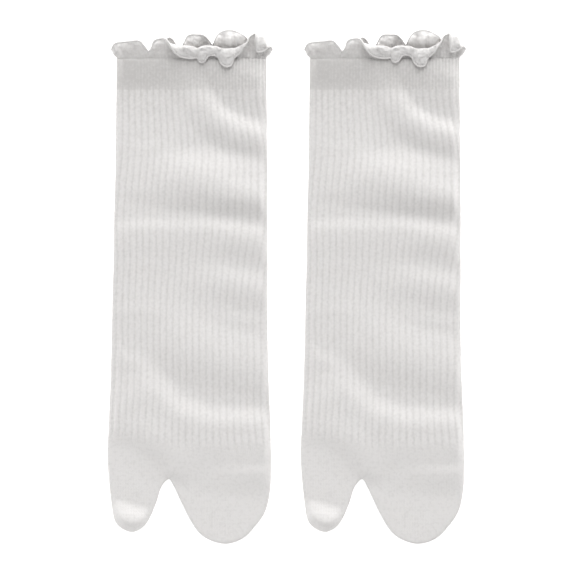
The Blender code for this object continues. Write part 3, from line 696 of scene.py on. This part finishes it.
def knit_material(name):
    """White cotton knit, ribbed as its maps say, and plain where no wales make a rib."""
    material, tree, shader = cotton(name, KNIT_GLOSS)
    wale, course = read_map(tree, "knit")
    per_rib, share = read_map(tree, "ribs")
    close = read_map(tree, "close")[0]
    drawn = place_group(tree, rib_wales, Wale=wale, Wales_Per_Rib=per_rib, Share=share)
    knit = place_group(tree, stitches, Wale=wale, Course=course, Purl=drawn["Purl"])
    fibre = place_group(tree, loose_fibre, Detail=FIBRE_DETAIL, Yarn_Roughness=KNIT_ROUGHNESS)
    # Painted shade: the yarn darkens towards YARN_SHADE in the gaps between the stitches and in the rib
    # grooves.
    gap = calc(tree, "MULTIPLY", knit["Gap"], GAP_SHADE)
    recess_shade = calc(tree, "ADD", gap, calc(tree, "MULTIPLY", drawn["Groove"], GROOVE_SHADE))
    # The map read above adds painted shade over the cuff, the top of the leg and the ruffle's foot; the
    # fibre's haze adds random tone.
    between = calc(tree, "ADD", calc(tree, "ADD", recess_shade, close), fibre["Haze"])
    yarn = mix_colours(tree, place_group(tree, yarn_tint)["Warmth"], YARN_LIGHT, YARN_WARM)
    tree.links.new(mix_colours(tree, between, yarn, YARN_SHADE), shader.inputs["Base Color"])
    tree.links.new(fibre["Roughness"], shader.inputs["Roughness"])
    height = calc(tree, "ADD", knit["Height"], fibre["Height"])
    add_relief(tree, height, STITCH_RELIEF, STITCH_STRENGTH, shader.inputs["Normal"])
    return material


SOCKS = {"left": -SOCK_SPACING / 2, "right": SOCK_SPACING / 2}
toe_tip = {side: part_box(f"{side}_toes")[0][1] for side in SOCKS}
tube = sock_mesh()
tube.materials.append(knit_material("leg_rib_knit"))

for side, middle in SOCKS.items():
    piece = bpy.data.objects.new(f"{side}_knitted_tube", tube)
    piece.location = (middle, toe_tip[side], 0)
    bpy.context.scene.collection.objects.link(piece)
    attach(piece, "root")
    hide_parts(f"{side}_cuff", f"{side}_leg", f"{side}_toes")

# The ruffle is knitted on from the cuff with extra stitches, so it flares into lobes and cups. Here it goes
# once round the mouth: along the front, where it rolls over and hangs down on the cuff, then back along the
# underside panel, where it stands up in three cups.
RUFFLE_FOOT = 290.9 * MM
RUFFLE_WALL = 1.0 * MM
RIM_THINNING = 0.4
THINNING_GROWTH = 3
RUFFLE_STEM = (0.4, 0.3)
ROLL_SHARE = 0.5
ROLL_MOST = 3.0 * MM
PUCKERS = ((6.3 * MM, 0.06 * MM, 0.9), (9.1 * MM, 0.09 * MM, -1.5), (14.3 * MM, 0.13 * MM, 2.1))
RUFFLE_LOW = 0.56 * MM
RUFFLE_HIGH = 2.06 * MM
RUFFLE_ROWS = 22
RUFFLE_STEPS = 7
RUFFLE_EASING = 1.3
RUFFLE_SOFTENING = 1.5
PUCKER_GROWTH = 1.5
RIM_REST = 1.1 * MM
COCKLE_SCALE = 255.0
COCKLE_DETAIL = 1.0
COCKLE_RELIEF = 2.8 * MM
COCKLE_STRENGTH = 1.0
GLOW_SHARE = 0.4
GLOW_REACH = 3.0 * MM

RUFFLE = (  # name, share of the way up to the front panel, base x, pull (x, y, z), rim (x, y, z)
    ("left edge's back", 0.1, -42.2, (-44.0, 293.4, 0.8), (-44.8, 296.0, 1.0)),
    ("left edge", 0.5, -42.5, (-45.0, 293.6, 1.9), (-46.1, 296.2, 2.3)),
    ("left edge's front", 0.9, -42.1, (-44.6, 294.6, 3.0), (-45.5, 297.8, 3.6)),
    ("left edge's shoulder", 1, -41.0, (-43.4, 296.2, 3.2), (-44.5, 299.3, 4.4)),
    ("left lobe's corner", 1, -38.6, (-41.0, 297.6, 4.6), (-41.9, 300.2, 4.4)),
    ("left lobe", 1, -34.5, (-35.6, 298.0, 5.0), (-36.3, 300.6, 4.6)),
    ("left lobe's end", 1, -30.0, (-29.8, 298.4, 4.4), (-30.0, 301.1, 5.0)),
    ("first notch's side", 1, -27.2, (-26.0, 295.8, 3.6), (-26.7, 298.2, 4.6)),
    ("first notch", 1, -24.4, (-24.2, 293.2, 3.4), (-24.2, 295.1, 3.8)),
    ("first notch's far side", 1, -22.0, (-22.0, 294.2, 3.4), (-22.2, 297.0, 4.2)),
    ("second lobe's corner", 1, -19.2, (-20.4, 298.2, 4.6), (-20.4, 301.2, 4.8)),
    ("second lobe", 1, -16.0, (-16.6, 299.8, 5.2), (-16.2, 302.5, 5.4)),
    ("second lobe's end", 1, -12.8, (-13.0, 300.6, 5.4), (-13.4, 302.0, 7.0)),
    ("second lobe's curl", 1, -9.8, (-10.2, 299.8, 5.2), (-11.7, 299.4, 7.8)),
    ("front roll's turn", 1, -7.4, (-7.0, 299.8, 5.4), (-9.8, 296.2, 7.2)),
    ("front roll's start", 1, -5.0, (-4.8, 300.0, 5.6), (-6.6, 292.8, 5.2)),
    ("front roll", 1, -1.4, (-1.0, 300.2, 5.6), (-2.0, 291.2, 4.0)),
    ("front roll's end", 1, 2.4, (2.4, 299.8, 5.4), (2.4, 291.0, 3.8)),
    ("front roll's dip", 1, 5.0, (5.2, 298.3, 4.8), (4.9, 291.2, 3.7)),
    ("narrow drop", 1, 7.4, (7.8, 300.2, 5.8), (6.8, 288.8, 3.8)),
    ("narrow drop's end", 1, 9.8, (10.2, 300.6, 6.0), (9.2, 289.0, 4.1)),
    ("middle roll", 1, 13.2, (13.4, 299.8, 6.0), (12.6, 292.8, 4.6)),
    ("broad drop's start", 1, 17.0, (16.8, 299.6, 5.9), (17.2, 292.0, 4.4)),
    ("broad drop's corner", 1, 19.8, (19.6, 298.8, 5.6), (19.0, 288.6, 4.0)),
    ("broad drop", 1, 22.6, (22.4, 298.6, 5.8), (21.6, 286.3, 4.0)),
    ("broad drop's far side", 1, 25.4, (25.4, 299.0, 6.0), (25.2, 286.7, 4.3)),
    ("broad drop's end", 1, 27.8, (27.8, 298.5, 6.0), (27.3, 291.2, 4.8)),
    ("right roll", 1, 30.0, (30.2, 299.2, 5.6), (30.6, 294.0, 5.4)),
    ("right roll's end", 1, 32.0, (32.2, 300.0, 5.4), (32.8, 297.2, 6.8)),
    ("right roll's curl", 1, 33.8, (34.2, 300.0, 4.8), (34.7, 299.8, 7.2)),
    ("right valley", 1, 35.2, (35.4, 300.2, 3.8), (35.9, 302.8, 6.6)),
    ("right hollow", 1, 36.6, (36.8, 300.8, 3.2), (37.2, 304.2, 6.4)),
    ("right crest", 1, 37.9, (38.4, 302.6, 4.2), (38.8, 304.8, 6.8)),
    ("right crest's turn", 1, 39.2, (40.1, 305.2, 5.3), (40.0, 305.0, 8.1)),
    ("right fold", 1, 40.6, (41.9, 307.0, 6.0), (40.4, 301.2, 8.8)),
    ("right fold's foot", 1, 42.0, (43.8, 307.6, 5.8), (40.8, 295.2, 5.8)),
    ("right lobe", 1, 43.0, (45.6, 306.8, 5.4), (43.2, 294.9, 5.0)),
    ("right lobe's end", 1, 43.6, (46.8, 304.0, 4.8), (44.9, 295.6, 5.0)),
    ("right lobe's curl", 1, 44.2, (47.2, 300.8, 4.4), (46.4, 296.6, 5.2)),
    ("right edge's shoulder", 1, 44.8, (47.9, 298.2, 3.8), (47.8, 297.6, 5.4)),
    ("right edge's front", 0.9, 45.4, (48.6, 295.4, 3.5), (48.9, 297.8, 4.8)),
    ("right edge", 0.5, 45.8, (49.4, 294.6, 2.1), (49.6, 296.4, 2.8)),
    ("right edge's back", 0.1, 45.5, (47.9, 294.6, 0.7), (48.4, 296.0, 1.1)),
    ("right edge's heel", 0, 44.6, (46.2, 294.4, 0.6), (46.8, 297.2, 0.9)),
    ("right cup's corner", 0, 42.4, (44.0, 296.0, 0.6), (44.2, 299.2, 1.0)),
    ("right cup", 0, 39.4, (39.8, 298.4, 0.8), (40.0, 301.6, 1.4)),
    ("right notch", 0, 35.2, (34.6, 298.0, 1.6), (35.0, 300.4, 2.0)),
    ("tall cup's corner", 0, 31.8, (33.0, 301.8, 7.0), (34.0, 303.3, 6.2)),
    ("tall cup", 0, 29.4, (29.8, 302.1, 10.8), (30.6, 305.4, 8.8)),
    ("tall cup's fold", 0, 27.2, (27.3, 302.9, 9.4), (27.8, 306.9, 7.9)),
    ("tall cup's crown", 0, 24.6, (24.6, 302.0, 11.2), (24.8, 307.3, 7.8)),
    ("tall cup's dent", 0, 21.4, (21.0, 302.6, 9.2), (21.2, 306.9, 8.4)),
    ("tall cup's side", 0, 18.4, (17.9, 301.9, 9.9), (17.0, 304.2, 7.2)),
    ("middle notch", 0, 14.6, (14.4, 296.4, 2.4), (14.4, 298.8, 2.8)),
    ("small cup's side", 0, 11.2, (11.4, 299.4, 4.4), (11.4, 302.2, 5.6)),
    ("small cup's hollow", 0, 8.2, (8.6, 301.2, 3.4), (8.8, 304.4, 7.0)),
    ("small cup", 0, 4.8, (5.0, 299.8, 7.8), (5.2, 304.8, 7.8)),
    ("small cup's end", 0, 1.0, (-0.2, 299.4, 7.4), (-0.4, 304.0, 7.0)),
    ("hidden notch", 0, -4.6, (-4.8, 294.6, 0.6), (-5.2, 296.8, 1.2)),
    ("second lobe's shadow", 0, -9.0, (-9.0, 299.6, 0.9), (-9.9, 302.2, 3.4)),
    ("hidden lobe", 0, -14.0, (-12.8, 298.8, 0.6), (-13.4, 302.6, 2.6)),
    ("hidden dip", 0, -24.0, (-24.0, 292.8, 0.6), (-24.0, 293.8, 0.6)),
    ("hidden wave", 0, -33.0, (-33.6, 296.4, 0.6), (-34.0, 299.0, 0.7)),
    ("hidden corner", 0, -39.0, (-40.8, 295.4, 0.6), (-41.2, 298.0, 0.8)),
    ("left edge's heel", 0, -41.2, (-42.8, 294.2, 0.6), (-43.6, 296.8, 0.9)),
)


def ruffle_section(up, base_x, pull, rim):
    """The base, pull and rim of one of the ruffle's sections, lifted with the front panel's folds."""
    left, right = side_edges(RUFFLE_FOOT)
    base_z = RUFFLE_LOW + (RUFFLE_HIGH - RUFFLE_LOW) * up
    points = np.array(((base_x * MM, RUFFLE_FOOT, base_z), np.array(pull) * MM, np.array(rim) * MM))
    from_edge = min(base_x * MM - left, right - base_x * MM)
    points[:, 2] += up * fold_lift(points[0, 0], RUFFLE_FOOT, from_edge, FOLDS)
    points[2, 2] = max(points[2, 2], RIM_REST)
    return points


def roll_section(up, base, pull, rim, t):
    """The point at t on a section that leaves the cuff flat and rolls round its pull to the rim."""
    stem = base + np.array((0, RUFFLE_STEM[0] * (pull[1] - base[1]), 0))
    stem[2] += RUFFLE_STEM[1] * max(0, pull[2] - base[2]) * (1 - up)
    roundness = np.array((0, 0, np.clip(ROLL_SHARE * (pull[1] - rim[1]), 0, ROLL_MOST)))
    points = (base, stem, pull - roundness, pull + roundness, rim)
    return sum(math.comb(4, k) * (1 - t) ** (4 - k) * t**k * point for k, point in enumerate(points))


def ruffle_grid():
    """The ruffle's middle surface as rows of points, from the cuff to the rim."""
    sections = [ruffle_section(*row[1:]) for row in RUFFLE]
    around_all = np.arange(len(RUFFLE) * RUFFLE_STEPS) / RUFFLE_STEPS
    ups = np.interp(around_all, np.arange(len(RUFFLE)), [row[1] for row in RUFFLE])
    stations = []
    for i in range(len(sections)):
        around = [sections[(i + k) % len(sections)] for k in (-1, 0, 1, 2)]
        stations += [catmull_rom(*around, step / RUFFLE_STEPS) for step in range(RUFFLE_STEPS)]
    shares = np.linspace(0, 1, RUFFLE_ROWS + 1)
    return np.array([[roll_section(up, *station, t) for up, station in zip(ups, stations)] for t in shares])


def wall_normal(grid):
    """The directions square to a middle surface given as rows of points."""
    around = np.roll(grid, -1, axis=1) - np.roll(grid, 1, axis=1)
    normal = np.cross(around, np.gradient(grid, axis=0))
    return normal / np.linalg.norm(normal, axis=2)[:, :, None]


def pucker(grid):
    """The middle surface with the uneven lumps of its crowded stitches, slanting and deepest at the rim."""
    girth = np.append(0, np.cumsum(np.linalg.norm(np.diff(grid[-1], axis=0), axis=1)))
    total = girth[-1] + np.linalg.norm(grid[-1, 0] - grid[-1, -1])
    up = np.linspace(0, 1, len(grid))[:, None]
    lumps = 0
    for length, depth, slant in PUCKERS:
        turn = 2 * math.pi * (girth / total * round(total / length) + slant * up)
        lumps = lumps + depth * up**PUCKER_GROWTH * np.sin(turn)
    return grid + wall_normal(grid) * lumps[:, :, None]


def ruffle_mesh(grid):
    """The ruffle as a wall of knit on both sides of its middle surface."""
    knit = Knit()
    rows, count = grid.shape[:2]
    half = RUFFLE_WALL / 2 * (1 - RIM_THINNING * np.linspace(0, 1, rows) ** THINNING_GROWTH)
    wall = wall_normal(grid) * half[:, None, None]
    faces = [knit.add_points((grid + wall * side).reshape(-1, 3)) for side in (1, -1)]
    girth = np.linalg.norm(np.diff(np.append(grid[0], grid[0, :1], axis=0), axis=0), axis=1)
    wales = np.append(0, np.cumsum(girth)) / WALE
    wales *= round(wales[-1]) / wales[-1]
    height = np.linalg.norm(np.diff(grid, axis=0), axis=2).mean(axis=1)
    courses = np.append(0, np.cumsum(height)) / COURSE
    left, right = side_edges(RUFFLE_FOOT)
    u = np.clip((np.append(grid[0, :, 0], grid[0, 0, 0]) - left) / (right - left), 0, 1)
    easing = np.maximum(0, 1 - np.linspace(0, 1, rows) / RUFFLE_EASING) ** RUFFLE_SOFTENING
    # Painted shade: the cuff's darkening carries on up the ruffle's foot and eases out towards the rim.
    close, share = np.outer(easing, cuff_painted_shade(u)), np.outer(easing, CUFF_STRETCH[0] + u)
    for side, ids in enumerate(faces):
        for row in range(rows - 1):
            for i in range(count):
                places = ((row, i), (row, i + 1), (row + 1, i + 1), (row + 1, i))
                corners = [ids[r * count + k % count] for r, k in places]
                across, along = [wales[k] for _r, k in places], [courses[r] for r, _k in places]
                shares, painted_shades = [share[place] for place in places], [close[place] for place in places]
                knit.add_face(corners, across, along, side == 1, WALES_PER_RIB / 2, shares, painted_shades)
    for row, flip in ((0, True), (rows - 1, False)):
        front, back = (ids[row * count : (row + 1) * count] for ids in faces)
        for i in range(count):
            j = (i + 1) % count
            across = [wales[i], wales[i + 1], wales[i + 1], wales[i]]
            knit.add_face([front[i], front[j], back[j], back[i]], across, [courses[row]] * 4, flip)
    return knit.mesh("ruffle")


def loose_knit(name):
    """The knit with crowded stitches: where they lie loose it cockles, and light soaks through it."""
    material = knit_material(name)
    tree = material.node_tree
    shader = tree.nodes["Principled BSDF"]
    stitch_relief = shader.inputs["Normal"].links[0].from_node
    # The looseness is one less the painted shade read from the map: the cockles and the light through the
    # knit grow where that shade fades.
    loose = calc(tree, "SUBTRACT", 1.0, read_map(tree, "close")[0])
    lumps = calc(tree, "MULTIPLY", cloud(tree, COCKLE_SCALE, COCKLE_DETAIL), loose)
    add_relief(tree, lumps, COCKLE_RELIEF, COCKLE_STRENGTH, stitch_relief.inputs["Normal"])
    tree.links.new(calc(tree, "MULTIPLY", loose, GLOW_SHARE), shader.inputs["Subsurface Weight"])
    shader.inputs["Subsurface Radius"].default_value = (1, 1, 1)
    shader.inputs["Subsurface Scale"].default_value = GLOW_REACH
    return material


grid = pucker(ruffle_grid())
ruffle = ruffle_mesh(grid)
ruffle.materials.append(loose_knit("ruffle_knit"))

# The ruffle's rim is overlocked: thread wrapped tightly over the raw edge makes a firm round bead.
RIM_RADIUS = 0.6 * MM
RIM_SIDES = 10
WRAP = 0.7 * MM
THREAD_GLOSS = 0.25
THREAD_ROUGHNESS = 0.75
THREAD_FIBRE_DETAIL = 2.0
WRAP_STRENGTH = 0.5


def rim_mesh(line, below):
    """A bead round the closed line of the rim, with the row of the ruffle below it."""
    run = np.roll(line, -1, axis=0) - np.roll(line, 1, axis=0)
    run /= np.linalg.norm(run, axis=1)[:, None]
    knit = Knit()
    inward = below - line
    inward -= (inward * run).sum(axis=1)[:, None] * run
    inward /= np.linalg.norm(inward, axis=1)[:, None]
    across = np.cross(run, inward)
    rings = []
    for side in range(RIM_SIDES):
        turn = 2 * math.pi * side / RIM_SIDES
        rings.append(line + RIM_RADIUS * (math.cos(turn) * inward + math.sin(turn) * across))
    rings = [knit.add_points(ring) for ring in rings]
    length = np.linalg.norm(np.diff(np.append(line, line[:1], axis=0), axis=0), axis=1)
    wraps = np.append(0, np.cumsum(length)) / WRAP
    wraps *= round(wraps[-1]) / wraps[-1]
    for side in range(RIM_SIDES):
        lower, upper = rings[side], rings[(side + 1) % RIM_SIDES]
        for i in range(len(line)):
            j = (i + 1) % len(line)
            corners = [lower[i], lower[j], upper[j], upper[i]]
            along = [wraps[i], wraps[i + 1], wraps[i + 1], wraps[i]]
            knit.add_face(corners, along, [side, side, side + 1, side + 1], flip=True)
    return knit.mesh("ruffle_rim")


def thread_material():
    """Overlock thread: slanting wraps round the bead, a little brighter than the knit."""
    material, tree, shader = cotton("overlock_thread", THREAD_GLOSS)
    along, around = read_map(tree, "knit")
    slant = calc(tree, "ADD", along, calc(tree, "MULTIPLY", around, 2 / RIM_SIDES))
    wrap = calc(tree, "ABSOLUTE", calc(tree, "SINE", calc(tree, "MULTIPLY", slant, math.pi)))
    # Painted shade: the thread darkens towards YARN_SHADE in the grooves between its wraps.
    tree.links.new(mix_colours(tree, wrap, YARN_SHADE, YARN_LIGHT), shader.inputs["Base Color"])
    fibre = place_group(tree, loose_fibre, Detail=THREAD_FIBRE_DETAIL, Yarn_Roughness=THREAD_ROUGHNESS)
    tree.links.new(fibre["Roughness"], shader.inputs["Roughness"])
    height = calc(tree, "ADD", wrap, fibre["Height"])
    add_relief(tree, height, STITCH_RELIEF, WRAP_STRENGTH, shader.inputs["Normal"])
    return material


rim = rim_mesh(grid[-1], grid[-2])
rim.materials.append(thread_material())

for side, middle in SOCKS.items():
    piece = bpy.data.objects.new(f"{side}_ruffle_knit", ruffle)
    bead = bpy.data.objects.new(f"{side}_ruffle_rim", rim)
    for part in (piece, bead):
        part.location = (middle, toe_tip[side], 0)
        bpy.context.scene.collection.objects.link(part)
        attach(part, "root")
    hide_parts(f"{side}_ruffle")

# The floor is a plain pale board, wide enough to fill the view from any side.
FLOOR_SIZE = 6.0
FLOOR_DROP = 0.1 * MM
BOARD_LIGHT = (0.95, 0.95, 0.95, 1)
BOARD_DARK = (0.93, 0.93, 0.93, 1)
BOARD_GRAIN = 40.0
BOARD_ROUGHNESS = 0.9
BOARD_GLOSS = 0.1
BOARD_GLOW = 0.6

floor = bpy.data.objects.new("floor", bpy.data.meshes.new("floor"))
half = FLOOR_SIZE / 2
corners = [(-half, -half, 0), (half, -half, 0), (half, half, 0), (-half, half, 0)]
floor.data.from_pydata(corners, [], [(0, 1, 2, 3)])
floor.location.z = -FLOOR_DROP
bpy.context.scene.collection.objects.link(floor)
board = bpy.data.materials.new("pale_floor")
board.use_nodes = True
board_shader = board.node_tree.nodes["Principled BSDF"]
board_shader.inputs["Roughness"].default_value = BOARD_ROUGHNESS
board_shader.inputs["Specular IOR Level"].default_value = BOARD_GLOSS
grain = board.node_tree.nodes.new("ShaderNodeTexNoise")
grain.inputs["Scale"].default_value = BOARD_GRAIN
board_tint = mix_colours(board.node_tree, grain.outputs["Fac"], BOARD_DARK, BOARD_LIGHT)
board.node_tree.links.new(board_tint, board_shader.inputs["Base Color"])
board.node_tree.links.new(board_tint, board_shader.inputs["Emission Color"])
board_shader.inputs["Emission Strength"].default_value = BOARD_GLOW
floor.data.materials.append(board)

# The light is a plain soft studio: a white surround that is brightest low down, one wide lamp low over the
# mouths' side that draws out the folds, and a weak one by the big toes that fills the feet.
SKY = 0.2
HORIZON = 2.7
HORIZON_FALL = 3.0
LAMPS = (  # name, power in W, size in m, distance in m, direction that it shines from
    ("key_lamp", 141.0, 3.0, 3.6, (0.08, 0.82, 0.57)),
    ("fill_lamp", 1.5, 0.6, 1.05, (-0.42, -0.78, 0.46)),
)

surround = bpy.data.worlds.new("studio")
surround.use_nodes = True
sky = surround.node_tree
sky_split = sky.nodes.new("ShaderNodeSeparateXYZ")
sky.links.new(sky.nodes.new("ShaderNodeTexCoord").outputs["Generated"], sky_split.inputs[0])
low_down = calc(sky, "SUBTRACT", 1.0, calc(sky, "ABSOLUTE", sky_split.outputs[2]))
glow = calc(sky, "MULTIPLY", calc(sky, "POWER", low_down, HORIZON_FALL), HORIZON)
sky.links.new(calc(sky, "ADD", glow, SKY), sky.nodes["Background"].inputs["Strength"])
sky.nodes["Background"].inputs["Color"].default_value = (1, 1, 1, 1)
bpy.context.scene.world = surround
for name, power, size, distance, direction in LAMPS:
    lamp = bpy.data.objects.new(name, bpy.data.lights.new(name, "AREA"))
    lamp.data.energy = power
    lamp.data.size = size
    towards = Vector(direction).normalized()
    lamp.location = towards * distance
    lamp.rotation_mode = "QUATERNION"
    lamp.rotation_quaternion = towards.to_track_quat("Z", "Y")
    bpy.context.scene.collection.objects.link(lamp)
bpy.context.scene.view_settings.view_transform = "Standard"
